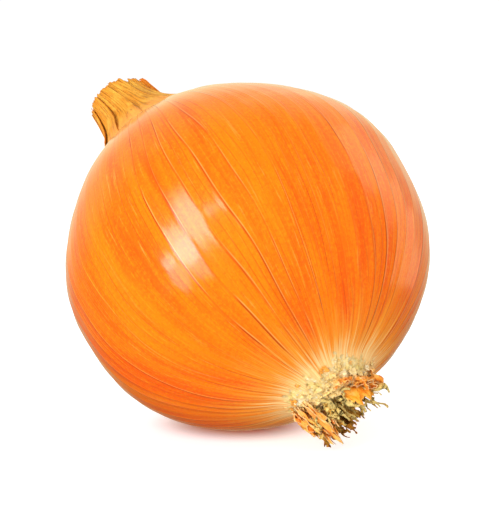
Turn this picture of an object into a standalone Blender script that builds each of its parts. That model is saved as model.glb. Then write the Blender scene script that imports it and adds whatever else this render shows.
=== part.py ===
"""A whole dry onion lying on a small flat spot, with its neck leaves, roots and torn skin flakes."""

import math

import bmesh
import bpy
import numpy as np
from mathutils import Euler, Vector

MM = 0.001

# Bulb: a turned body about its own axis, neck up, measured from the widest section.
EQUATOR_RADIUS = 39.1 * MM
SHOULDER_HEIGHT = 38.1 * MM
SHOULDER_POWERS = (1.79, 1.494)
BASE_DEPTH = 40.7 * MM
BASE_POWERS = (2.593, 1.575)
SHOULDER_TOP = 34.4 * MM
COLLAR_DEPTH = 38.0 * MM
NECK_PROFILE_MM = [(8.6, 36.6), (6.9, 38.6), (5.6, 40.8), (4.7, 43.0), (4.1, 44.2), (2.8, 44.8), (0.0, 45.0)]
PLATE_PROFILE_MM = [(0.0, -43.4), (3.6, -43.1), (6.4, -42.3), (8.7, -41.0), (10.6, -39.6)]
BODY_RINGS = 12
BULB_SEGMENTS = 72

# The axis of the bulb leans off straight at both ends, in one vertical plane of the bulb.
LEAN_AZIMUTH = math.radians(228.2)
NECK_LEAN = 7.8 * MM
NECK_LEAN_HEIGHT = 47.8 * MM
ROOT_LEAN = -1.7 * MM
ROOT_LEAN_DEPTH = 41.0 * MM
LEAN_POWER = 3.0

# Rest: the bulb lies with its roots towards +X and down, on a flat pressed a little into its side.
AXIS_TILT = math.radians(-46.93)
FLAT_DEPTH = 0.75 * MM
GAP = 0.4 * MM

# Dry leaves that close over the neck like shingles.
LEAF_COUNT = 12
LEAF_WIDTH = math.radians(42.0)
LEAF_THICKNESS = 0.32 * MM
LEAF_RISE = 0.95 * MM
LEAF_PATH_MM = [(13.6, 33.4), (11.4, 34.7), (9.6, 36.5), (7.9, 39.0), (6.8, 41.6), (6.1, 44.0)]
LEAF_TIP_MM = (5.7, 46.3)
LEAF_TIP_STEP = 0.5 * MM
LEAF_BULGE = 0.9 * MM
BULGE_HEIGHT = 42.0 * MM
BULGE_REACH = 5.0 * MM
LEAF_COLUMNS = 4

# Dried roots, set on a golden-angle spiral off the middle of the basal plate and brushed to one side.
ROOT_COUNT = 18
ROOT_FIELD_RADIUS = 5.6 * MM
ROOT_FIELD_AZIMUTH = math.radians(112.0)
ROOT_FIELD_OFFSET = 2.6 * MM
ROOT_BRUSH_AZIMUTH = math.radians(50.0)
ROOT_RADIUS = 0.6 * MM
ROOT_LENGTH = 4.9 * MM
ROOT_BRUSH = 3.2 * MM
ROOT_POINTS = 6
GOLDEN_ANGLE = math.pi * (3.0 - math.sqrt(5.0))
FLOOR_CLEARANCE = 1.0 * MM

# Torn skin left standing round the roots. Each tongue: azimuth in degrees, then width, rim radius,
# length, outward reach and taper, with the lengths in mm.
FLAKES = [
    (-24.0, 4.6, 8.6, 1.8, 0.5, 0.2),
    (24.0, 6.0, 9.3, 2.5, 0.9, 0.2),
    (58.0, 5.4, 10.6, 3.2, 1.6, 0.6),
    (18.0, 5.6, 7.9, 4.4, -0.8, 0.6),
    (92.0, 6.0, 11.2, 2.8, 1.0, 0.5),
    (122.0, 5.6, 11.8, 3.4, 0.6, 0.6),
    (164.0, 4.6, 12.6, 4.8, -0.6, 0.8),
    (240.0, 4.6, 8.6, 10.6, -1.8, 0.85),
    (219.0, 4.6, 11.4, 9.2, -1.4, 0.8),
    (196.0, 4.4, 12.4, 4.8, -0.4, 0.7),
]
FLAKE_THICKNESS = 0.32 * MM
FLAKE_COLUMNS = 4
FLAKE_ROWS = 4


def start_scene():
    for obj in list(bpy.data.objects):
        bpy.data.objects.remove(obj, do_unlink=True)
    scene = bpy.context.scene
    parts = bpy.data.collections.new("onion")
    cutters = bpy.data.collections.new("cutters")
    scene.collection.children.link(parts)
    scene.collection.children.link(cutters)
    return parts, cutters


def material(name, colour, roughness):
    """A matt or waxy plant finish."""
    made = bpy.data.materials.new(name)
    made.use_nodes = True
    shader = made.node_tree.nodes["Principled BSDF"]
    shader.inputs["Base Color"].default_value = (*colour, 1.0)
    shader.inputs["Roughness"].default_value = roughness
    shader.inputs["Metallic"].default_value = 0.0
    return made


def polar(radius, azimuth, height):
    return Vector((radius * math.cos(azimuth), radius * math.sin(azimuth), height))


def body_radius(height):
    """The radius of the bulb at a height on its axis, between the collar and the shoulder."""
    if height >= 0.0:
        reach, (inner, outer) = SHOULDER_HEIGHT, SHOULDER_POWERS
    else:
        reach, (inner, outer) = BASE_DEPTH, BASE_POWERS
    share = min(abs(height) / reach, 1.0)
    return EQUATOR_RADIUS * (1.0 - share**inner) ** (1.0 / outer)


def body_height(radius):
    """The height below the widest section at which the base of the bulb has this radius."""
    inner, outer = BASE_POWERS
    return -BASE_DEPTH * (1.0 - (radius / EQUATOR_RADIUS) ** outer) ** (1.0 / inner)


def base_height(radius):
    """The height of the base at a radius, on the basal plate or on the skin round it."""
    plate = [(r * MM, z * MM) for r, z in PLATE_PROFILE_MM]
    if radius > plate[-1][0]:
        return body_height(radius)
    return float(np.interp(radius, [r for r, _ in plate], [z for _, z in plate]))


def lean(point):
    """Moves a point of the upright, straight onion onto its leaning axis."""
    if point.z >= 0.0:
        amount = NECK_LEAN * (point.z / NECK_LEAN_HEIGHT) ** LEAN_POWER
    else:
        amount = ROOT_LEAN * (-point.z / ROOT_LEAN_DEPTH) ** LEAN_POWER
    return point + polar(amount, LEAN_AZIMUTH, 0.0)


def bulb_profile():
    """(radius, height) from the tip of the neck down the outside to the middle of the basal plate."""
    angles = np.linspace(0.0, 1.0, BODY_RINGS + 1)
    upper = [SHOULDER_TOP * math.cos(0.5 * math.pi * a) for a in angles]
    lower = [-COLLAR_DEPTH * math.sin(0.5 * math.pi * a) for a in angles[1:]]
    neck = [(r * MM, z * MM) for r, z in reversed(NECK_PROFILE_MM)]
    plate = [(r * MM, z * MM) for r, z in reversed(PLATE_PROFILE_MM)]
    return neck + [(body_radius(z), z) for z in upper + lower] + plate


def resting_pose():
    """Rotation of the onion and the place of its centre, so that the flat spot is centred on the origin."""
    rotation = Euler((0.0, AXIS_TILT, 0.0)).to_matrix()
    heights = np.linspace(-COLLAR_DEPTH, 0.0, 400)
    azimuths = np.radians(np.linspace(150.0, 210.0, 121))
    points = [rotation @ lean(polar(body_radius(z), a, z)) for z in heights for a in azimuths]
    lowest = min(points, key=lambda point: point.z)
    return rotation, Vector((-lowest.x, -lowest.y, -lowest.z - FLAT_DEPTH))


def add_object(name, data, collection, finish, pose):
    obj = bpy.data.objects.new(name, data)
    collection.objects.link(obj)
    obj.parent = pose
    data.materials.append(finish)
    return obj


def modified(obj, kind, **settings):
    made = obj.modifiers.new(kind.title(), kind)
    for key, value in settings.items():
        setattr(made, key, value)
    return made


def floor_cutter(collection):
    """A slab under the ground plane, which presses the flat spot into the bulb."""
    bpy.ops.mesh.primitive_cube_add(size=1.0, location=(0.0, 0.0, -5.0 * MM))
    slab = bpy.context.object
    slab.name = "ground_slab"
    slab.scale = (60.0 * MM, 60.0 * MM, 10.0 * MM)
    for owner in list(slab.users_collection):
        owner.objects.unlink(slab)
    collection.objects.link(slab)
    slab.hide_render = True
    slab.display_type = "WIRE"
    return slab


def turned_mesh(name, profile, segments):
    """The closed mesh that a profile sweeps once round the axis."""
    flat = bpy.data.meshes.new(name + "_profile")
    edges = [(i, i + 1) for i in range(len(profile) - 1)]
    flat.from_pydata([(r, 0.0, z) for r, z in profile], edges, [])
    guide = bpy.data.objects.new(name + "_guide", flat)
    bpy.context.scene.collection.objects.link(guide)
    modified(
        guide,
        "SCREW",
        steps=segments,
        render_steps=segments,
        use_merge_vertices=True,
        merge_threshold=0.00001,
    )
    graph = bpy.context.evaluated_depsgraph_get()
    mesh = bpy.data.meshes.new_from_object(guide.evaluated_get(graph))
    bpy.data.objects.remove(guide, do_unlink=True)
    return mesh


def make_bulb(collection, pose, finish, slab):
    mesh = turned_mesh("bulb", bulb_profile(), BULB_SEGMENTS)
    for vertex in mesh.vertices:
        vertex.co = lean(vertex.co)
    mesh.shade_smooth()
    bulb = add_object("bulb", mesh, collection, finish, pose)
    modified(bulb, "BOOLEAN", operation="DIFFERENCE", object=slab)
    return bulb


def sheet_mesh(name, columns, rows, place):
    """An open grid whose corners place(across, along) puts in space, both running from 0 to 1."""
    bm = bmesh.new()
    bmesh.ops.create_grid(bm, x_segments=columns, y_segments=rows, size=0.5)
    for vertex in bm.verts:
        vertex.co = place(vertex.co.x + 0.5, vertex.co.y + 0.5)
    mesh = bpy.data.meshes.new(name)
    bm.to_mesh(mesh)
    bm.free()
    mesh.shade_smooth()
    return mesh


def bulged(radius, azimuth, height):
    """A point of the neck, which is fuller on the side that it leans to."""
    share = max(1.0 - ((height - BULGE_HEIGHT) / BULGE_REACH) ** 2, 0.0)
    return polar(radius + LEAF_BULGE * share * math.cos(azimuth - LEAN_AZIMUTH), azimuth, height)


def make_neck_leaf(index, collection, pose, finish):
    """One dry leaf: it starts on the shoulder and ends in a cut tip, a step above its neighbour's edge."""
    start = index * 2.0 * math.pi / LEAF_COUNT
    tip = LEAF_TIP_MM[1] * MM + LEAF_TIP_STEP * math.sin(2.4 * index)
    path = [Vector((r * MM, z * MM)) for r, z in LEAF_PATH_MM]
    path.append(Vector((LEAF_TIP_MM[0] * MM, tip)))
    last = len(path) - 1

    def place(across, along):
        row = round(along * last)
        ahead = path[min(row + 1, last)] - path[max(row - 1, 0)]
        outward = Vector((ahead.y, -ahead.x)).normalized()
        spot = path[row] + outward * (GAP + LEAF_RISE * across)
        return lean(bulged(spot.x, start + LEAF_WIDTH * across, spot.y))

    mesh = sheet_mesh(f"neck_leaf_{index + 1}", LEAF_COLUMNS, last, place)
    leaf = add_object(mesh.name, mesh, collection, finish, pose)
    modified(leaf, "SOLIDIFY", thickness=LEAF_THICKNESS, offset=0.0)


def root_points(index, rotation, centre):
    """The bent path of one root, cut short where it would reach the ground."""
    share = math.sqrt((index + 0.5) / ROOT_COUNT)
    offset = polar(ROOT_FIELD_RADIUS * share, index * GOLDEN_ANGLE, 0.0)
    foot = offset + polar(ROOT_FIELD_OFFSET, ROOT_FIELD_AZIMUTH, 0.0)
    foot_height = base_height(foot.length)
    brush = max(math.cos(index * GOLDEN_ANGLE - ROOT_BRUSH_AZIMUTH), 0.0) * share
    length = ROOT_LENGTH * (1.0 + 0.18 * math.sin(1.7 * index + 0.6))
    sideways = offset * (0.42 * length / ROOT_FIELD_RADIUS) + polar(ROOT_BRUSH * brush, ROOT_BRUSH_AZIMUTH, 0.0)
    path = []
    for step in range(ROOT_POINTS):
        along = step / (ROOT_POINTS - 1)
        drop = GAP + ROOT_RADIUS * 0.5 + length * along * (1.0 - 0.25 * brush * along)
        spot = lean(foot + sideways * along * (0.55 + 0.45 * along) + Vector((0.0, 0.0, foot_height - drop)))
        if (rotation @ spot + centre).z > FLOOR_CLEARANCE:
            path.append(spot)
    return path


def make_root(index, collection, pose, finish, rotation, centre):
    points = root_points(index, rotation, centre)
    curve = bpy.data.curves.new(f"root_{index + 1}", "CURVE")
    curve.dimensions = "3D"
    curve.bevel_depth = ROOT_RADIUS
    curve.bevel_resolution = 1
    curve.use_fill_caps = True
    spline = curve.splines.new("POLY")
    spline.points.add(len(points) - 1)
    for number, (target, point) in enumerate(zip(spline.points, points)):
        target.co = (*point, 1.0)
        target.radius = 1.0 - 0.5 * number / len(points)
    add_object(curve.name, curve, collection, finish, pose)


def make_flake(index, collection, pose, finish, rotation, centre):
    """One torn tongue of skin that stands out of the base along the roots, held off the ground."""
    degrees, width, rim, length, reach, taper = FLAKES[index]
    azimuth = math.radians(degrees)
    foot = base_height(rim * MM)
    outward = polar(1.0, azimuth, 0.0)
    sideways = polar(1.0, azimuth + 0.5 * math.pi, 0.0)

    def place(across, along):
        side = 2.0 * across - 1.0
        tear = 1.0 - 0.3 * side * side
        spot = polar(rim * MM, azimuth + 0.5 * width * side / rim, foot - 2.0 * GAP)
        spot += outward * (reach * MM * along**1.5)
        spot += sideways * (-0.5 * width * MM * side * taper * along)
        spot = lean(spot - Vector((0.0, 0.0, length * MM * along * tear)))
        sunk = FLOOR_CLEARANCE - (rotation @ spot + centre).z
        return spot + rotation.transposed() @ Vector((0.0, 0.0, max(sunk, 0.0)))

    mesh = sheet_mesh(f"skin_flake_{index + 1}", FLAKE_COLUMNS, FLAKE_ROWS, place)
    flake = add_object(mesh.name, mesh, collection, finish, pose)
    modified(flake, "SOLIDIFY", thickness=FLAKE_THICKNESS, offset=0.0)


def main():
    parts, cutters = start_scene()
    rotation, centre = resting_pose()
    pose = bpy.data.objects.new("lying_pose", None)
    parts.objects.link(pose)
    pose.rotation_euler = rotation.to_euler()
    pose.location = centre
    bpy.context.view_layer.update()

    skin = material("onion_skin", (0.86, 0.25, 0.02), 0.3)
    dry_leaf = material("dry_neck_leaf", (0.72, 0.36, 0.06), 0.6)
    dried_root = material("dried_root", (0.42, 0.24, 0.07), 0.85)
    torn_skin = material("torn_skin", (0.80, 0.32, 0.05), 0.55)

    slab = floor_cutter(cutters)
    make_bulb(parts, pose, skin, slab)
    for index in range(LEAF_COUNT):
        make_neck_leaf(index, parts, pose, dry_leaf)
    for index in range(ROOT_COUNT):
        make_root(index, parts, pose, dried_root, rotation, centre)
    for index in range(len(FLAKES)):
        make_flake(index, parts, pose, torn_skin, rotation, centre)


main()
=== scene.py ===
import math

import bmesh
import bpy
from mathutils import Euler, Matrix, Vector, noise


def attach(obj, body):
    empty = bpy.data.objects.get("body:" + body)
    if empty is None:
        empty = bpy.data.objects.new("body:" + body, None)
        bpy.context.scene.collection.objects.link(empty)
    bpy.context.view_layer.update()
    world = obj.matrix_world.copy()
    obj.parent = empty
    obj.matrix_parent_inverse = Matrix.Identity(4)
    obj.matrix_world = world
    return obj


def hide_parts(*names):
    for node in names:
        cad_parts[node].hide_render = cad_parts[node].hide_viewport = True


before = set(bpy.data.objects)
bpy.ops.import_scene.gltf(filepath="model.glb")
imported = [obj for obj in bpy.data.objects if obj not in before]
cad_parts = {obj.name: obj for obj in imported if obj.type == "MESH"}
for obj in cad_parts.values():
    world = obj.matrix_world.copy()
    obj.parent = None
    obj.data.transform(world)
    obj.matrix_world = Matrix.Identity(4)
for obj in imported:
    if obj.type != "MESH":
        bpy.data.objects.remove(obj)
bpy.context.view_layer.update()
mm = 0.001
# noise vectors start from this seed, so that each run makes the same onion
noise.seed_set(7)

# the upright onion: neck up, widest section at height 0, lengths in mm
bulb = {
    "radius": 39.1,
    "shoulder": 38.1, "shoulderPowers": (1.79, 1.494),
    "base": 40.7, "basePowers": (2.593, 1.575),
    "bodyTop": 34.4, "bodyLow": -38.0,
    "neckLine": [(8.6, 36.6), (6.9, 38.6), (5.6, 40.8), (4.7, 43.0), (4.1, 44.2), (2.8, 44.8),
                 (0.0, 45.0)],
    "plateLine": [(11.4, -38.45), (10.6, -38.95), (9.6, -39.75), (8.2, -40.95), (6.4, -42.1),
                  (3.6, -43.0), (0.0, -43.4)],
    "tilt": math.radians(-46.93), "flat": 0.75,
    "leanAzimuth": math.radians(228.2), "neckLean": 7.8 / 47.8**3, "rootLean": -1.7 / 41.0**3,
    "segments": 500, "bodyRings": 130, "neckSteps": 3, "plateSteps": 6,
    "veins": 54, "fineVeins": 131, "skinDepth": 0.35, "patch": 9.7,
}


def polar(radius, azimuth, height=0.0):
    return Vector((radius * math.cos(azimuth), radius * math.sin(azimuth), height))


def bodyRadius(height):
    above = height >= 0
    reach = bulb["shoulder"] if above else bulb["base"]
    inner, outer = bulb["shoulderPowers"] if above else bulb["basePowers"]
    return bulb["radius"] * (1 - min(abs(height) / reach, 1) ** inner) ** (1 / outer)


def baseHeight(radius):
    # the height of the root end at a radius
    line = bulb["plateLine"]
    if radius > line[0][0]:
        inner, outer = bulb["basePowers"]
        return -bulb["base"] * (1 - (radius / bulb["radius"]) ** outer) ** (1 / inner)
    for (wide, high), (narrow, low) in zip(line, line[1:]):
        if radius >= narrow:
            return low + (high - low) * (radius - narrow) / (wide - narrow)
    return line[-1][1]


def lean(point):
    rate = bulb["neckLean"] if point.z >= 0 else bulb["rootLean"]
    return point + polar(rate * abs(point.z) ** 3, bulb["leanAzimuth"])


def smoothStep(low, high, value):
    share = min(max((value - low) / (high - low), 0), 1)
    return share * share * (3 - 2 * share)


def smoothLine(points, steps):
    # a rounded line through the points
    ends = [points[0]] + points + [points[-1]]
    line = []
    for i in range(len(points) - 1):
        a, b, c, d = (Vector(p) for p in ends[i:i + 4])
        for k in range(steps):
            t = k / steps
            line.append(0.5 * (2 * b + (c - a) * t + (2 * a - 5 * b + 4 * c - d) * t**2
                               + (3 * b - a - 3 * c + d) * t**3))
    return line + [Vector(points[-1])]


def lyingPose():
    # the flat spot is centred on the frame's origin
    turn = Euler((0, bulb["tilt"], 0)).to_matrix().to_4x4()
    rows = [bulb["bodyLow"] * k / 400 for k in range(401)]
    sides = [math.radians(150 + k / 2) for k in range(121)]
    low = min((turn @ lean(polar(bodyRadius(z), a, z)) for z in rows for a in sides), key=lambda p: p.z)
    shift = Matrix.Translation((-low.x, -low.y, -low.z - bulb["flat"]))
    return Matrix.Scale(mm, 4) @ shift @ turn


pose = lyingPose()
unpose = pose.inverted()


def offGround(point, clearance):
    # lifts a point of the upright onion that would lie under the floor
    ground = pose @ point
    if ground.z >= clearance * mm:
        return point
    return unpose @ Vector((ground.x, ground.y, clearance * mm))


def veinPhase(azimuth, run, sine, count, drift):
    # which vein a point is at; run is the way along the skin in cm
    turns = azimuth / math.tau
    bend = 0.011 * sine(3 * azimuth + drift) + 0.005 * sine(8 * azimuth + 2.1 + 0.35 * run)
    waver = 0.0016 * sine(0.9 * run + 5 * azimuth) + 0.0008 * sine(2.3 * run + 11 * azimuth + drift)
    return count * (turns + bend + waver)


def veinPower(cell, sine):
    # some veins are strong and some hardly show
    return abs(sine(cell * 2.13 + 0.7) * 17.3) % 1.0


# shader kit: a socket that takes part in sums
class Wire:
    def __init__(self, tree, socket):
        self.tree, self.socket = tree, socket

    def maths(self, operation, *values):
        return addNode(self.tree, "Math", {"operation": operation}, dict(enumerate(values)))

    def __add__(self, other): return self.maths("ADD", self, other)
    def __radd__(self, other): return self.maths("ADD", other, self)
    def __sub__(self, other): return self.maths("SUBTRACT", self, other)
    def __rsub__(self, other): return self.maths("SUBTRACT", other, self)
    def __mul__(self, other): return self.maths("MULTIPLY", self, other)
    def __rmul__(self, other): return self.maths("MULTIPLY", other, self)
    def __truediv__(self, other): return self.maths("DIVIDE", self, other)
    def __abs__(self): return self.maths("ABSOLUTE", self)
    def __mod__(self, other): return self.maths("FLOORED_MODULO", self, other)


def addNode(tree, kind, settings, inputs, output=0):
    node = tree.nodes.new("ShaderNode" + kind)
    for name, value in settings.items():
        setattr(node, name, value)
    for name, value in inputs.items():
        if isinstance(value, Wire):
            tree.links.new(value.socket, node.inputs[name])
        else:
            node.inputs[name].default_value = value
    return Wire(tree, node.outputs[output])


def tint(red, green, blue):
    # a colour given as it is seen, 0 to 255, turned into light values
    seen = [c / 255 for c in (red, green, blue)]
    return (*[c / 12.92 if c < 0.04045 else ((c + 0.055) / 1.055) ** 2.4 for c in seen], 1)


def mixed(factor, low, high):
    return addNode(factor.tree, "Mix", {"data_type": "RGBA"}, {0: factor, 6: low, 7: high}, output=2)


def eased(value, low, high, bottom=0.0, top=1.0):
    return addNode(value.tree, "MapRange", {"interpolation_type": "SMOOTHSTEP"},
                   {0: value, 1: low, 2: high, 3: bottom, 4: top})


def cloud(vector, factors, detail=3, rough=0.55):
    spread = addNode(vector.tree, "VectorMath", {"operation": "MULTIPLY"}, {0: vector, 1: factors})
    return addNode(vector.tree, "TexNoise", {},
                   {"Vector": spread, "Scale": 1.0, "Detail": detail, "Roughness": rough})


def newFinish(name, roughness=0.5, specular=0.5):
    finish = bpy.data.materials.new(name)
    finish.use_nodes = True
    shader = finish.node_tree.nodes["Principled BSDF"]
    shader.inputs["Roughness"].default_value = roughness
    shader.inputs["Specular IOR Level"].default_value = specular
    return finish, finish.node_tree, shader


def attribute(tree, name, output="Vector"):
    return addNode(tree, "Attribute", {"attribute_name": name}, {}, output)


def parts(vector):
    axes = vector.tree.nodes.new("ShaderNodeSeparateXYZ")
    vector.tree.links.new(vector.socket, axes.inputs[0])
    return [Wire(vector.tree, socket) for socket in axes.outputs]


def feed(shader, values):
    for name, wire in values.items():
        wire.tree.links.new(wire.socket, shader.inputs[name])


def bumped(height, distance):
    return addNode(height.tree, "Bump", {}, {"Height": height, "Distance": distance})


skin = {
    "deep": tint(248, 88, 0), "main": tint(255, 124, 0), "light": tint(255, 148, 2),
    # glow is the colour of the painted highlights along the veins and of the pale threads
    "vein": tint(196, 72, 4), "glow": tint(255, 192, 110),
    "rootward": tint(255, 164, 44), "fibre": tint(255, 200, 100),
    "cream": tint(254, 226, 160), "white": tint(255, 250, 226), "straw": tint(252, 206, 118),
    "moss": tint(242, 216, 124), "speck": tint(206, 140, 60), "neckward": tint(250, 184, 108),
    # the side towards which the skin is painted lighter, with painted shade away from it
    "shadeSide": math.radians(-28), "wrinkle": 0.012,
}


def skinFinish():
    finish, tree, shader = newFinish("onionSkin", specular=0.12)
    grain = attribute(tree, "grain")
    girth = attribute(tree, "girth", "Fac")
    bare = attribute(tree, "bare", "Fac")
    crumb = attribute(tree, "crumb", "Fac")
    place = addNode(tree, "TexCoord", {}, {}, "Object")
    across, side, run = parts(grain)
    azimuth = side.maths("ARCTAN2", side, across)

    def sine(value):
        return value.maths("SINE", value)

    def veinLine(count, drift, thin, wide):
        phase = veinPhase(azimuth, run, sine, count, drift)
        cell = phase.maths("FLOOR", phase)
        offset = (phase - cell - 0.5) * girth * (math.tau / count)
        return eased(abs(offset), thin, wide, 1.0, 0.0), offset, veinPower(cell % count, sine)

    broad = cloud(grain, (4, 4, 0.2), 2)
    middle = cloud(grain, (20, 20, 0.3))
    fine = cloud(grain, (85, 85, 1.2), 3, 0.65)
    mottle = cloud(place, (1500, 1500, 1500), 4, 0.7)
    line, offset, power = veinLine(bulb["veins"], 1.0, 0.06, 0.27)
    fineLine, _, finePower = veinLine(bulb["fineVeins"], 2.6, 0.02, 0.17)
    fade = eased(cloud(grain, (7, 7, 0.6), 2), 0.36, 0.6)
    strong = line * power * (0.3 + 0.7 * fade)
    weak = fineLine * finePower * (0.25 + 0.75 * fade)

    # painted light and shade: the skin is made lighter towards this side and darker away from it
    sunny = across * math.cos(skin["shadeSide"]) + side * math.sin(skin["shadeSide"])
    tone = broad * 0.55 + middle * 0.3 + mottle * 0.15 + 0.055 * sunny - 0.012
    colour = mixed(eased(tone, 0.38, 0.62), skin["deep"], skin["main"])
    colour = mixed(eased(fine * 0.5 + mottle * 0.5, 0.46, 0.66) * 0.5, colour, skin["light"])
    colour = mixed(eased(mottle, 0.3, 0.46, 1.0, 0.0) * 0.35, colour, skin["deep"])

    rootStreak = cloud(grain, (30, 30, 0.4), 4, 0.65)
    fibre = cloud(grain, (90, 90, 0.7), 3, 0.6)
    below = eased(run, 0.0, 2.0)
    nearRoot = below * eased(girth + 34 * (rootStreak - 0.5), 10.5, 24, 1.0, 0.0)
    colour = mixed(nearRoot * 0.8, colour, skin["rootward"])
    combed = below * eased(girth, 12, 26, 1.0, 0.0) * eased(fibre, 0.5, 0.64)
    colour = mixed(combed * 0.3, colour, skin["fibre"])
    paleStreak = below * eased(girth + 26 * (rootStreak - 0.5) + 5 * (fibre - 0.5), 7.6, 15.5, 1.0, 0.0)
    colour = mixed(paleStreak * 0.8, colour, skin["cream"])
    above = eased(run, -1.6, -3.2)
    nearNeck = above * eased(girth + 14 * (middle - 0.5), 12, 35, 1.0, 0.0)
    colour = mixed(nearNeck * 0.85, colour, skin["neckward"])

    veins = (strong * 1.1 + weak * 0.6) * (1 - 0.85 * nearRoot)
    colour = mixed(veins.maths("MINIMUM", veins, 0.9), colour, skin["vein"])
    # painted highlight: a pale line along one side of each strong vein, where the raised vein catches the
    # light; the pale threads are partly real pale streaks and partly painted reflection
    rim = eased(offset, 0.12, 0.24) * eased(offset, 0.24, 0.46, 1.0, 0.0)
    rim = rim * power * fade * (1 - 0.6 * nearRoot)
    threads = eased(fine, 0.58, 0.72) * eased(cloud(grain, (9, 9, 0.5), 2), 0.42, 0.62)
    colour = mixed((rim * 0.6).maths("MAXIMUM", rim * 0.6, threads * 0.24), colour, skin["glow"])
    thread = cloud(grain, (6, 6, 1.5), 2, 0.5)
    wrinkle = eased(abs(thread - 0.5), 0.0, skin["wrinkle"], 1.0, 0.0) * eased(mottle, 0.42, 0.55)
    wrinkle = wrinkle * eased(cloud(grain, (3, 3, 0.8), 2), 0.5, 0.6)
    colour = mixed(wrinkle * 0.25, colour, skin["vein"])

    crumbs = cloud(place, (1900, 1900, 1900), 4, 0.7)
    grit = crumbs * 0.75 + crumb * 0.25
    patch = mixed(eased(grit, 0.32, 0.5), skin["straw"], skin["cream"])
    patch = mixed(eased(grit, 0.52, 0.68), patch, skin["white"])
    patch = mixed(eased(cloud(place, (420, 420, 420), 2), 0.5, 0.68) * 0.6, patch, skin["moss"])
    patch = mixed(eased(cloud(place, (900, 900, 900), 2), 0.64, 0.7) * 0.6, patch, skin["speck"])
    colour = mixed(bare, colour, patch)

    ripple = cloud(grain, (26, 26, 3.5), 3, 0.6)
    rough = 0.3 + 0.12 * fine + 0.1 * ripple + bare * 0.4 + nearRoot * 0.15
    height = fine * 0.8 + ripple * 0.3 + mottle * 0.16 + (strong + weak * 0.8) * (1 - 0.7 * nearRoot)
    height = height + bare * crumbs * 4 + below * eased(girth, 11, 24, 1.0, 0.0) * fibre * 0.5
    shine = (1 - bare) * (1 - 0.6 * paleStreak)
    feed(shader, {"Base Color": colour, "Roughness": rough, "Coat Weight": shine,
                  "Normal": bumped(height, 0.00012)})
    shader.inputs["Coat IOR"].default_value = 1.6
    shader.inputs["Coat Roughness"].default_value = 0.16
    shader.inputs["Specular Tint"].default_value = tint(255, 190, 90)
    shader.inputs["Sheen Weight"].default_value = 0.12
    shader.inputs["Sheen Roughness"].default_value = 0.3
    shader.inputs["Sheen Tint"].default_value = tint(255, 214, 150)
    return finish


def sheetFinish(name, look, roughness, fibre):
    # dry leaf or torn skin: fibres run along the sheet
    finish, tree, shader = newFinish(name, roughness, 0.35)
    dark, main, light, foot, edgeWearAndHighlight = (tint(*seen) for seen in look)
    grain = attribute(tree, "grain")
    edge = attribute(tree, "edge", "Fac")
    fold = attribute(tree, "fold", "Fac")
    _, along, _ = parts(grain)
    streak = cloud(grain, (fibre, 0.8, 1), 4, 0.7)
    thread = cloud(grain, (fibre * 3.5, 1.5, 1), 2, 0.6)
    patch = cloud(grain, (2.2, 1.4, 1))
    colour = mixed(eased(streak, 0.34, 0.52), dark, main)
    colour = mixed(eased(patch, 0.4, 0.64) * 0.8, colour, light)
    colour = mixed(eased(thread, 0.3, 0.42, 1.0, 0.0) * 0.7, colour, dark)
    # painted shade: the sheet is darker in its creases
    colour = mixed(fold * 0.45, colour, dark)
    colour = mixed(eased(along, 0.1, 1.5, 1.0, 0.0) * 0.85, colour, foot)
    # torn edge colour: edge wear, and where the edge colour is lighter, partly painted highlight
    colour = mixed(eased(edge + 0.4 * streak, 0.75, 1.25) * 0.8, colour, edgeWearAndHighlight)
    rough = roughness + 0.2 * streak - 0.1
    height = streak + 0.5 * thread
    feed(shader, {"Base Color": colour, "Roughness": rough, "Normal": bumped(height, 0.0003)})
    return finish


def rootFinish():
    finish, tree, shader = newFinish("driedRoot", 0.75, 0.15)
    grain = attribute(tree, "grain")
    tone = attribute(tree, "tone", "Fac")
    streak = cloud(grain, (9, 1.4, 1), 4, 0.7)
    blotch = cloud(grain, (1.2, 1.6, 1), 2)
    shade = tone + 0.9 * (blotch - 0.5) + 1.1 * (streak - 0.5)
    colour = mixed(eased(shade, 0.0, 0.3), tint(112, 54, 6), tint(190, 118, 28))
    colour = mixed(eased(shade, 0.3, 0.65), colour, tint(236, 178, 74))
    colour = mixed(eased(shade, 0.66, 1.05), colour, tint(255, 226, 140))
    feed(shader, {"Base Color": colour, "Normal": bumped(streak, 0.0004)})
    return finish


def chipFinish():
    finish, tree, shader = newFinish("skinChip", 0.6, 0.35)
    grain = attribute(tree, "grain")
    tone = attribute(tree, "tone", "Fac")
    streak = cloud(grain, (5, 1.5, 1), 3, 0.65)
    colour = mixed(eased(streak, 0.36, 0.62), skin["straw"], skin["cream"])
    colour = mixed(eased(tone, 0.2, 0.4, 1.0, 0.0), colour, skin["white"])
    colour = mixed(eased(tone, 0.55, 0.75), colour, tint(250, 170, 66))
    feed(shader, {"Base Color": colour, "Normal": bumped(streak, 0.0002)})
    return finish


# colours of a sheet: in its dark streaks and painted crease shade, over most of it, in lighter patches,
# at the foot, on the torn edge (edge wear, and where it is lighter, partly painted highlight)
leafLook = (160, 88, 8), (232, 150, 32), (248, 184, 64), (250, 162, 76), (214, 132, 30)
flapLook = (232, 112, 4), (252, 144, 16), (255, 162, 36), (244, 160, 60), (236, 130, 20)
tornLook = (214, 104, 20), (252, 156, 44), (255, 194, 96), (255, 212, 134), (255, 220, 160)
brightLook = (238, 124, 8), (255, 160, 30), (255, 186, 66), (250, 150, 40), (255, 206, 120)
finishes = {
    "skin": skinFinish(),
    "neckLeaf": sheetFinish("dryNeckLeaf", leafLook, 0.6, 8),
    "neckFlap": sheetFinish("dryNeckFlap", flapLook, 0.5, 5),
    "tornSkin": sheetFinish("tornSkin", tornLook, 0.5, 4),
    "tornFlap": sheetFinish("tornFlap", brightLook, 0.45, 3),
    "root": rootFinish(),
    "chip": chipFinish(),
}
print("finishes made")


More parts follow.
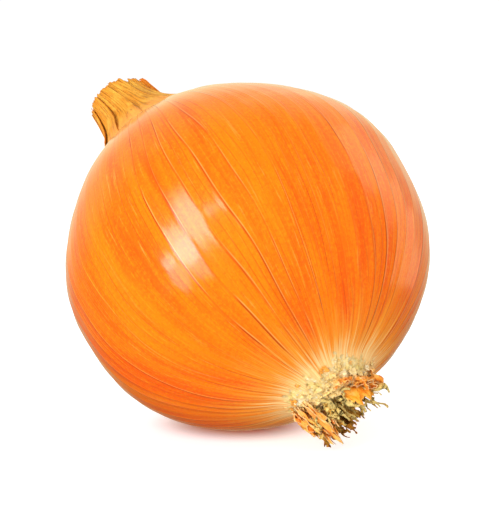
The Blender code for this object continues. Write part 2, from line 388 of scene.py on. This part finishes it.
def newMesh(**layers):
    # a bmesh with its named vertex layers
    bm = bmesh.new()
    kinds = {"vector": bm.verts.layers.float_vector, "float": bm.verts.layers.float}
    return bm, {name: kinds[kind].new(name) for name, kind in layers.items()}


def keepPiece(name, bm, finish, replaced=(), thickness=0):
    bmesh.ops.recalc_face_normals(bm, faces=bm.faces)
    bmesh.ops.transform(bm, matrix=pose, verts=bm.verts)
    mesh = bpy.data.meshes.new(name)
    bm.to_mesh(mesh)
    bm.free()
    mesh.shade_smooth()
    mesh.materials.append(finish)
    piece = bpy.data.objects.new(name, mesh)
    bpy.context.scene.collection.objects.link(piece)
    if thickness:
        wall = piece.modifiers.new("Wall", "SOLIDIFY")
        wall.thickness, wall.offset = thickness * mm, 0.0
    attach(piece, "root")
    if replaced:
        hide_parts(*replaced)
    return piece


def veinRelief(azimuth, run, girth):
    # flat panels meet at the veins, and each vein stands at a height of its own
    count = bulb["veins"]
    phase = veinPhase(azimuth, run, math.sin, count, 1.0)
    cell = math.floor(phase)
    local = phase - cell - 0.5
    away = abs(local)
    near = cell % count
    far = (cell + (1 if local > 0 else -1)) % count
    rise = [0.05 * noise.noise(Vector((vein * 1.7, run * 0.3, 3))) for vein in (near, far)]
    width = girth * math.tau / count
    power = veinPower(near, math.sin)
    ridge = 0.07 * power * math.exp(-(away * width / 0.4) ** 2)
    sag = 0.06 * (width / 4.5) ** 2 * (1 - (1 - 2 * away) ** 2)
    return ridge + rise[0] * (1 - away) + rise[1] * away - sag


def skinRelief(azimuth, run, girth, height):
    spot = polar(1, azimuth, run)
    relief = 0.35 * noise.noise(polar(girth, azimuth, height) * 0.055)
    relief += smoothStep(12, 26, girth) * veinRelief(azimuth, run, girth)
    if height < 0:
        window = smoothStep(9.5, 13, girth) * (1 - smoothStep(15, 30, girth))
        pleat = noise.noise(Vector((spot.x * 9, spot.y * 9, run * 0.5)))
        pleat += 0.6 * noise.noise(Vector((spot.x * 19, spot.y * 19, run * 0.7)))
        return relief + 0.09 * window * pleat
    window = smoothStep(7, 11, girth) * (1 - smoothStep(12, 27, girth))
    return relief + 0.5 * window * noise.noise(Vector((spot.x * 8, spot.y * 8, run * 0.4)))


def crumble(point):
    # chips on the bare root plate: how high one stands, and its own shade
    gaps, centres = noise.voronoi(point * 0.8 + 0.6 * noise.noise_vector(point * 0.7))
    shade = 0.5 + 0.5 * noise.noise(centres[0] * 3.7)
    return min(gaps[1] - gaps[0], 0.6), shade


def makeBulb():
    top, low, rings = bulb["bodyTop"], bulb["bodyLow"], bulb["bodyRings"]
    heights = [low + (top - low) * (0.5 + 0.5 * math.cos(math.pi * k / rings)) for k in range(rings + 1)]
    body = [Vector((bodyRadius(z), z)) for z in heights]
    neck = smoothLine(bulb["neckLine"][::-1] + [tuple(body[0])], bulb["neckSteps"])
    plate = smoothLine([tuple(body[-1])] + bulb["plateLine"], bulb["plateSteps"])
    line = neck[:-1] + body + plate[1:]
    bm, layers = newMesh(grain="vector", girth="float", bare="float", crumb="float", run="float")
    chain = [bm.verts.new((p.x, 0, p.y)) for p in line]
    middle = min(range(len(line)), key=lambda k: abs(line[k].y))
    run = [0.0]
    for a, b in zip(line, line[1:]):
        run.append(run[-1] + (b - a).length / 10)
    for vert, way in zip(chain, run):
        vert[layers["run"]] = way - run[middle]
    edges = [bm.edges.new(pair) for pair in zip(chain, chain[1:])]
    bmesh.ops.spin(bm, geom=chain + edges, axis=(0, 0, 1), cent=(0, 0, 0), angle=math.tau,
                   steps=bulb["segments"], use_merge=True)
    bmesh.ops.remove_doubles(bm, verts=bm.verts, dist=0.0005)
    bmesh.ops.recalc_face_normals(bm, faces=bm.faces)
    bm.normal_update()
    moves = []
    for vert in bm.verts:
        azimuth = math.atan2(vert.co.y, vert.co.x)
        girth = vert.co.xy.length
        way = vert[layers["run"]]
        bare, chip, shade = 0, 0, 0
        if vert.co.z > 0 and girth < 8.4:
            bare = 1
        elif vert.co.z < 0 and girth < 15:
            rag = noise.noise(polar(2.6, azimuth, 0)) * 1.3 + noise.noise(vert.co * 1.1) * 0.9
            rag += noise.noise(polar(9, azimuth, girth * 0.08)) * 2.2
            bare = 1 - smoothStep(-0.3, 0.3, girth - bulb["patch"] - rag)
            chip, shade = crumble(vert.co)
        vert[layers["grain"]] = (math.cos(azimuth), math.sin(azimuth), way)
        vert[layers["girth"]], vert[layers["bare"]], vert[layers["crumb"]] = girth, bare, shade
        relief = skinRelief(azimuth, way, girth, vert.co.z) - bulb["skinDepth"] * bare
        lumps = 0.7 * noise.noise(vert.co * 0.6) + 0.4 * noise.noise(vert.co * 1.6)
        relief += bare * (lumps + 0.35 * chip * shade)
        moves.append(vert.normal * relief)
    for vert, move in zip(bm.verts, moves):
        vert.co = offGround(lean(vert.co + move), 0)
    return keepPiece("onion_bulb", bm, finishes["skin"], ["bulb"])


def addSheet(bm, layers, columns, rows, place):
    # a grid that place() puts in space; it also gives the pattern's place, the edge mask for wear and
    # painted edge highlight, and the painted crease shade
    grid = bmesh.ops.create_grid(bm, x_segments=columns, y_segments=rows, size=0.5)
    for vert in grid["verts"]:
        spot, pattern, edgeWearAndHighlight, crease = place(vert.co.x + 0.5, vert.co.y + 0.5)
        vert.co = spot
        vert[layers["grain"]], vert[layers["edge"]], vert[layers["fold"]] = pattern, edgeWearAndHighlight, crease


neckLeaves = {
    "count": 12, "width": math.radians(42), "rise": 0.85, "gap": 0.35, "thickness": 0.16,
    "line": [(15.4, 31.2), (13.4, 33.6), (11.3, 35.0), (9.5, 36.8), (7.9, 39.0), (6.8, 41.6), (6.1, 44.0),
             (5.7, 46.7)],
    "columns": 44, "steps": 6, "tipStep": 0.45, "folds": 2.6,
    "bulge": 1.3, "bulgeHeight": 40.5, "bulgeReach": 7.0,
    "flap": 1, "flapAzimuth": math.radians(50),
    "inset": {0: 1.6}, "tips": {0: -3.0, 1: 1.7, 11: 0.2, 10: 0.7, 9: 0.5},
}


def makeNeckLeaf(index):
    look = neckLeaves
    start = index * math.tau / look["count"]
    line = smoothLine(look["line"], look["steps"])
    last = len(line) - 1
    tip = look["tips"].get(index, look["tipStep"] * math.sin(2.4 * index))
    isFlap = index == look["flap"]

    def place(across, along):
        row = min(int(along * last), last - 1)
        here = line[row].lerp(line[row + 1], along * last - row)
        ahead = (line[row + 1] - line[row]).normalized()
        lift = smoothStep(0.02, 0.34, along)
        wave = abs(math.sin(math.pi * (look["folds"] * across + 0.37 * index)))
        # the crease shapes each fold and also carries the painted shade in it
        crease = (1 - smoothStep(0.0, 0.3, wave)) * lift
        thread = noise.noise(Vector((across * 26, along * 1.5, index * 2.2)))
        bundle = math.floor(across * 7 + 2 * index)
        jag = 0.95 * noise.noise(Vector((bundle * 1.37, index * 3.1, 0))) + 0.2 * thread
        height = lift * (look["gap"] + look["rise"] * across - 0.22 * crease) + 0.07 * lift * thread
        height -= 0.3 * (1 - lift)
        if isFlap:
            height += smoothStep(0.5, 0.85, along) * (1.4 - 2.6 * across)
        height -= look["inset"].get(index, 0) * smoothStep(0.5, 0.85, along) * across
        spot = here + Vector((ahead.y, -ahead.x)) * height
        spot.y += (tip + jag) * smoothStep(0.6, 1, along)
        azimuth = start + look["width"] * across
        if isFlap:
            azimuth += (look["flapAzimuth"] - azimuth) * 0.8 * smoothStep(0.5, 0.85, along)
        full = max(1 - ((spot.y - look["bulgeHeight"]) / look["bulgeReach"]) ** 2, 0)
        reach = spot.x + look["bulge"] * full * math.cos(azimuth - bulb["leanAzimuth"])
        edgeWearAndHighlight = max(abs(2 * across - 1) ** 8, along**14)
        return lean(polar(reach, azimuth, spot.y)), (across * 2, along * 3, index * 5.3), edgeWearAndHighlight, crease

    bm, layers = newMesh(grain="vector", edge="float", fold="float")
    addSheet(bm, layers, look["columns"], last, place)
    finish = finishes["neckFlap" if isFlap else "neckLeaf"]
    return keepPiece(f"dry_leaf_{index + 1}", bm, finish, [f"neck_leaf_{index + 1}"],
                     look["thickness"])


# each tongue: azimuth in degrees, width, rim radius, length, outward reach, taper, crumple,
# turn in degrees
tongues = {
    "places": [(-14, 4.2, 6.6, 1.2, 0.3, 0.2, 0.7, 0), (38, 7.2, 6.8, 2.4, 0.6, 0.2, 1.2, 0),
               (62, 5.6, 8.6, 3.2, 1.1, 0.6, 1.1, 0), (36, 10.0, 5.4, 4.0, -0.4, 0.12, 0.45, -32),
               (92, 6.0, 10.4, 2.6, 0.5, 0.5, 0.8, 0), (122, 5.6, 11.8, 3.4, 0.6, 0.6, 0.8, 0),
               (164, 4.6, 11.4, 4.6, -0.9, 0.8, 0.8, 0), (234, 6.4, 6.2, 9.4, -0.6, 0.8, 0.5, -34),
               (220, 6.0, 7.6, 8.2, -0.7, 0.55, 0.7, -26), (206, 5.4, 9.4, 5.6, 0.0, 0.4, 0.9, -8)],
    "columns": 28, "rows": 26, "thickness": 0.14, "layers": 3, "clearance": 0.5, "smooth": (3,),
}


def makeTongue(index):
    look = tongues
    degrees, width, rim, length, reach, taper, rumple, turn = look["places"][index]
    azimuth = math.radians(degrees)
    swing = Matrix.Rotation(math.radians(turn), 3, "Z")
    outward, sideways = swing @ polar(1, azimuth), swing @ polar(1, azimuth + math.pi / 2)
    bm, layers = newMesh(grain="vector", edge="float", fold="float")
    for layer in range(look["layers"]):
        seed = index * 4.7 + layer * 9.1
        inset, shorter, shift = 0.65 * layer, 1 - 0.22 * layer, 0.9 * math.sin(2.2 * layer)

        def place(across, along):
            side = 2 * across - 1
            rag = noise.noise(Vector((across * 6, seed, 0)))
            rag += 0.6 * noise.noise(Vector((across * 17, seed, 5)))
            tear = shorter * (1 - 0.35 * side * side + 0.5 * rag)
            around = azimuth + (0.5 * width * side + shift) / rim
            spot = polar(rim, azimuth) + swing @ (polar(rim - inset, around) - polar(rim, azimuth))
            spot.z = baseHeight(spot.xy.length) + 0.3
            spot += outward * (reach * along**1.5) - sideways * (0.5 * width * side * taper * along**2)
            spot.z -= (length * tear + 0.3) * along
            buckle = noise.noise(Vector((side * 2.6, along * 1.4, seed)))
            buckle += 0.5 * noise.noise(Vector((side * 6, along * 4, seed)))
            shake = noise.noise(Vector((side * 3, along * 3, seed + 2)))
            grip = smoothStep(0, 0.3, along)
            spot += grip * rumple * (1.6 * buckle * outward + 0.8 * shake * sideways)
            spot += grip * 0.22 * noise.noise(Vector((side * 9, along * 2, seed + 4))) * outward
            edgeWearAndHighlight = max(abs(side) ** 8, along**10)
            # the crease mask also carries the painted shade in the crumple's dips
            crease = smoothStep(0.1, 0.6, -buckle) * grip * rumple
            spot = offGround(lean(spot), look["clearance"])
            return spot, (across * 2, along * 2 + 0.4, seed), edgeWearAndHighlight, crease

        addSheet(bm, layers, look["columns"], look["rows"], place)
    finish = finishes["tornFlap" if index in look["smooth"] else "tornSkin"]
    return keepPiece(f"torn_skin_{index + 1}", bm, finish, [f"skin_flake_{index + 1}"],
                     look["thickness"])


chips = {"count": 90, "inner": 3.0, "outer": 10.2, "size": (0.5, 1.7), "thickness": 0.08}


def makeChips():
    # loose scales of skin on and round the bare root plate
    look = chips
    bm, layers = newMesh(grain="vector", tone="float")
    golden = math.pi * (3 - math.sqrt(5))
    for k in range(look["count"]):
        share = (k + 0.5) / look["count"]
        radius = look["inner"] + (look["outer"] - look["inner"]) * share
        azimuth = golden * k * 1.7
        wild = noise.noise_vector(Vector((k * 1.37, 2.0, 0.5)))
        small, large = look["size"]
        size = small + (large - small) * abs(wild.x) * 1.4
        foot = lean(polar(radius, azimuth, baseHeight(radius)))
        out = (polar(0.6, azimuth) + Vector((0, 0, -1)) + 0.55 * wild).normalized()
        basis = (out + 0.45 * polar(1, azimuth)).to_track_quat("Z", "X")
        grid = bmesh.ops.create_grid(bm, x_segments=7, y_segments=8, size=0.5)
        for vert in grid["verts"]:
            x, y = vert.co.x, vert.co.y
            bend = 0.5 * size * (x * x + 0.7 * y * y) * (1 + wild.y)
            ragged = size * noise.noise_vector(Vector((x * 3, y * 3, k * 1.9)))
            flat = Vector((size * x * (1.1 - 0.7 * y), size * 1.5 * y, bend)) + 0.42 * ragged
            flat.rotate(Euler((0.5 * wild.z, 0.4 * wild.x, 0)))
            vert[layers["grain"]] = (x + 0.5, y * 2, k * 1.7)
            vert[layers["tone"]] = 0.46 + 0.45 * wild.z + 0.14 * smoothStep(7, 10.6, radius)
            vert.co = offGround(foot + basis @ flat, 0.4)
    return keepPiece("skin_chips", bm, finishes["chip"], thickness=look["thickness"])


def addStrand(bm, layers, points, widths, flat, twist, seed, tone):
    # a shrivelled strand: a capped ring pulled along the points
    sides = 8
    ring = bmesh.ops.create_circle(bm, cap_ends=True, segments=sides, radius=1)["verts"]
    face = ring[0].link_faces[0]
    last = len(points) - 1
    for k, point in enumerate(points):
        if k:
            grown = bmesh.ops.extrude_face_region(bm, geom=[face])["geom"]
            face = next(part for part in grown if isinstance(part, bmesh.types.BMFace))
            ring = [loop.vert for loop in face.loops]
        basis = (points[min(k + 1, last)] - points[max(k - 1, 0)]).to_track_quat("Z", "Y")
        for j, vert in enumerate(ring):
            angle = math.tau * j / sides
            pinch = widths[k] * (1 + 0.7 * noise.noise(Vector((j * 1.7, k * 1.3, seed))))
            around = Vector((math.cos(angle) * pinch, math.sin(angle) * pinch * flat, 0))
            around.rotate(Euler((0, 0, twist * k / last + seed)))
            vert.co = point + basis @ around
            vert[layers["grain"]] = (j / sides * 2, k * 0.35, seed)
            vert[layers["tone"]] = tone


roots = {
    "count": 18, "steps": 15, "width": 0.95, "rootlets": 3, "rootletWidth": 0.5,
    "pull": 0.75, "wild": 1.3, "clearance": 0.5, "drop": 0.5,
    "scraps": 10, "scrapSize": 1.6, "scrapSteps": 10, "scrapWild": 0.6,
    "strawSide": math.radians(48), "flapSide": math.radians(10),
    "shift": polar(2.7, bulb["leanAzimuth"], 0.25),
}


def rootEnds(name):
    points = sorted((unpose @ v.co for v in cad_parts[name].data.vertices), key=lambda p: -p.z)
    return sum(points[:6], Vector()) / 6, sum(points[-6:], Vector()) / 6


def wander(start, end, steps, pull, wild, seed):
    # a curling way from one point towards another
    stride = (end - start).length * 1.15 / steps
    points = [start]
    heading = (end - start).normalized()
    for k in range(steps):
        here = points[-1]
        goal = (end - here).normalized() if (end - here).length > stride * 2 else heading
        curl = noise.noise_vector(here * 0.55 + Vector((seed, seed * 2.3, 0)))
        heading = (heading * 0.9 + goal * pull + curl * wild).normalized()
        points.append(offGround(here + heading * stride, roots["clearance"]))
    return points


def addScraps(bm, layers, points, seed, tone):
    # crumpled bits of dead root skin clinging to a strand
    look = roots
    for k in range(look["scraps"]):
        wild = noise.noise_vector(Vector((seed, k * 2.7, 4.4)))
        free = len(points) - 3
        at = 1 + int(abs(noise.noise(Vector((seed, k * 1.9, 8.8)))) * 1.6 * free) % free
        if points[at].xy.dot(polar(1, look["flapSide"]).xy) > 1.5:
            continue
        basis = (points[at + 1] - points[at] + 0.5 * wild).to_track_quat("Y", "Z")
        size = look["scrapSize"] * (0.6 + 0.8 * abs(wild.x))
        ball = bmesh.ops.create_icosphere(bm, subdivisions=3, radius=0.6)
        for vert in ball["verts"]:
            x, y, thick = vert.co
            rumple = noise.noise_vector(Vector((x * 2.6, y * 2.6, seed + k * 5.1)))
            ragged = 1 + 0.5 * noise.noise(Vector((x * 5, y * 5, seed + k * 2.3)))
            flat = Vector((x * ragged * (1.1 - 0.5 * y), y * ragged * 1.4, 0.12 * thick)) + 0.42 * rumple
            vert[layers["grain"]] = (x + 0.5, y * 1.2, seed + k)
            # painted light and shade: each scrap is lighter on the crests of its crumple and darker in
            # its dips
            vert[layers["tone"]] = tone + 0.6 * wild.y + 0.5 * rumple.z
            vert.co = offGround(points[at] + basis @ (flat * size) + 0.3 * wild, look["clearance"])


def makeRoot(index):
    look = roots
    start, end = (point + look["shift"] for point in rootEnds(f"root_{index + 1}"))
    bm, layers = newMesh(grain="vector", tone="float")
    inside = Vector((0, 0, 1.6))
    middle = lean(Vector((0, 0, -43)))
    straw = max((end - middle).xy.normalized().dot(polar(1, look["strawSide"]).xy), 0) ** 2
    ground = max((end - middle).xy.normalized().dot(polar(1, math.pi * 0.9).xy), 0) ** 2
    shade = 1.0 + 0.2 * straw - 0.7 * ground
    end = end.lerp(Vector((start.x, start.y, end.z)), look["drop"] * (1 - straw))
    seed = index * 3.7
    path = wander(start + inside * 0.3, end, look["scrapSteps"], look["pull"], look["scrapWild"], seed)
    addScraps(bm, layers, path, seed, shade)
    for k in range(1 + look["rootlets"]):
        seed = index * 3.7 + k * 11.3
        jitter = noise.noise_vector(Vector((seed, 1.3, 2.9)))
        foot = start + inside + jitter * (1.6 if k else 0.2)
        goal = end + jitter * (2.6 if k else 0.3)
        if k:
            goal = foot.lerp(goal, 0.75 + 0.4 * jitter.y)
        points = wander(foot, goal, look["steps"], look["pull"], look["wild"], seed)
        base = look["rootletWidth"] if k else look["width"] * (1 + 0.35 * math.sin(2.1 * index))
        widths = []
        for j in range(len(points)):
            plump = 0.75 + 0.6 * abs(noise.noise(Vector((j * 0.6, seed, 0))))
            widths.append(base * (1.25 - 0.75 * j / look["steps"]) * plump)
        tone = shade + 0.4 * jitter.x
        addStrand(bm, layers, points, widths, 0.34 + 0.2 * math.sin(seed), 2.4, seed, tone)
    return keepPiece(f"dried_root_{index + 1}", bm, finishes["root"], [f"root_{index + 1}"])


makeBulb()
print("bulb made")
for index in range(neckLeaves["count"]):
    makeNeckLeaf(index)
print("neck made")
for index in range(len(tongues["places"])):
    makeTongue(index)
makeChips()
for index in range(roots["count"]):
    makeRoot(index)
print("root end made")


# the floor's own lengths are in metres; it glows from dim at the near radius to full at the far one, so
# the dim disc round the contact point is a painted shadow
floor = {"radius": 0.5, "colour": (0.53, 0.56, 0.61, 1), "dim": 0.0, "glow": 0.68,
         "near": 0.007, "far": 0.021}


def makeFloor():
    # a plain pale sheet that glows a little, with a painted shadow where the onion touches it, where it
    # does not glow
    finish, tree, shader = newFinish("paleFloor", 0.6, 0.2)
    shader.inputs["Base Color"].default_value = floor["colour"]
    place = addNode(tree, "TexCoord", {}, {}, "Object")
    reach = addNode(tree, "VectorMath", {"operation": "LENGTH"}, {0: place}, 1)
    shine = eased(reach, floor["near"], floor["far"], floor["dim"], floor["glow"])
    feed(shader, {"Emission Color": mixed(shine, (0, 0, 0, 1), (1, 1, 1, 1))})
    shader.inputs["Emission Strength"].default_value = 1.0
    bm = bmesh.new()
    bmesh.ops.create_circle(bm, cap_ends=True, segments=96, radius=floor["radius"])
    mesh = bpy.data.meshes.new("floor")
    bm.to_mesh(mesh)
    bm.free()
    mesh.materials.append(finish)
    sheet = bpy.data.objects.new("floor", mesh)
    bpy.context.scene.collection.objects.link(sheet)
    sheet.visible_glossy, sheet.visible_diffuse = False, False


camera = {"azimuth": math.radians(52.95), "elevation": math.radians(10), "distance": 0.75,
          "viewHeight": 0.1103, "right": 1.93, "down": 2.2}


def towards(azimuth, elevation):
    return Vector((math.sin(azimuth) * math.cos(elevation), -math.cos(azimuth) * math.cos(elevation),
                   math.sin(elevation)))


def makeCamera():
    back = towards(camera["azimuth"], camera["elevation"])
    right = Vector((math.cos(camera["azimuth"]), math.sin(camera["azimuth"]), 0))
    aim = pose @ Vector() + (camera["right"] * right - camera["down"] * back.cross(right)) * mm
    data = bpy.data.cameras.new("camera")
    data.sensor_width = 36
    data.lens = 36 * camera["distance"] / camera["viewHeight"]
    data.clip_end = 20
    viewer = bpy.data.objects.new("camera", data)
    bpy.context.scene.collection.objects.link(viewer)
    viewer.location = aim + back * camera["distance"]
    viewer.rotation_euler = back.to_track_quat("Z", "Y").to_euler()
    bpy.context.scene.camera = viewer


# angle to the side of the view and up, distance, width, height, brightness, warmth
lamps = {
    "window": (-38, 20, 0.6, 0.26, 0.42, 4.6, 0.1),
    "panel": (-33, 2, 0.6, 0.26, 0.34, 2.3, 0.1),
    "topBack": (142, 38, 0.8, 1.0, 0.6, 0.28, 0.5),
    "backRight": (118, 12, 0.8, 0.4, 0.9, 0.7, 0.5),
}


def makeLamp(name):
    side, lift, distance, width, height, brightness, warmth = lamps[name]
    way = towards(camera["azimuth"] + math.radians(side), math.radians(lift))
    data = bpy.data.lights.new(name, "AREA")
    data.shape = "RECTANGLE"
    data.size, data.size_y = width, height
    data.energy = brightness * 4 * width * height
    data.color = (1, 1 - 0.25 * warmth, 1 - warmth)
    lamp = bpy.data.objects.new(name, data)
    bpy.context.scene.collection.objects.link(lamp)
    lamp.location = pose @ Vector() + way * distance
    lamp.rotation_euler = way.to_track_quat("Z", "Y").to_euler()
    lamp.visible_camera = False


# how bright the room is to the eye, on matt surfaces from above and from below, and in reflections
# of its front, of its back wall and of the wall's middle
room = {"seen": 1.05, "matt": 1.0, "low": 1.0, "front": 0.01, "back": 0.42, "edge": 0.5}


def makeWorld():
    world = bpy.data.worlds.new("studio")
    world.use_nodes = True
    tree = world.node_tree
    tree.nodes.clear()
    way = addNode(tree, "TexCoord", {}, {}, "Generated")
    backwards = towards(camera["azimuth"] + math.pi, 0)
    wall = addNode(tree, "VectorMath", {"operation": "DOT_PRODUCT"}, {0: way, 1: backwards}, "Value")
    rise = parts(way)[2]
    white, warm = (1, 1, 1, 1), (0.96, 1, 0.66, 1)
    mirrored = eased(wall, 0.2, 0.9, room["front"], room["back"])
    mirrored = mirrored + eased(wall, 0.8, 1.0, 0.0, room["edge"])
    mirrored = mirrored * eased(rise, -0.6, 0.0)
    spread = eased(rise, -0.7, 0.5, room["low"], room["matt"])
    shades = (white, room["seen"]), (white, spread), (warm, mirrored)
    seen, matt, reflected = (addNode(tree, "Background", {}, {"Color": colour, "Strength": strength})
                             for colour, strength in shades)
    glossy = addNode(tree, "LightPath", {}, {}, "Is Glossy Ray")
    direct = addNode(tree, "LightPath", {}, {}, "Is Camera Ray")
    lit = addNode(tree, "MixShader", {}, {0: glossy, 1: matt, 2: reflected})
    both = addNode(tree, "MixShader", {}, {0: direct, 1: lit, 2: seen})
    output = tree.nodes.new("ShaderNodeOutputWorld")
    tree.links.new(both.socket, output.inputs["Surface"])
    world.cycles.sampling_method = "NONE"
    bpy.context.scene.world = world


makeFloor()
makeCamera()
for name in lamps:
    makeLamp(name)
makeWorld()
bpy.context.scene.view_settings.view_transform = "Standard"
print("studio made")
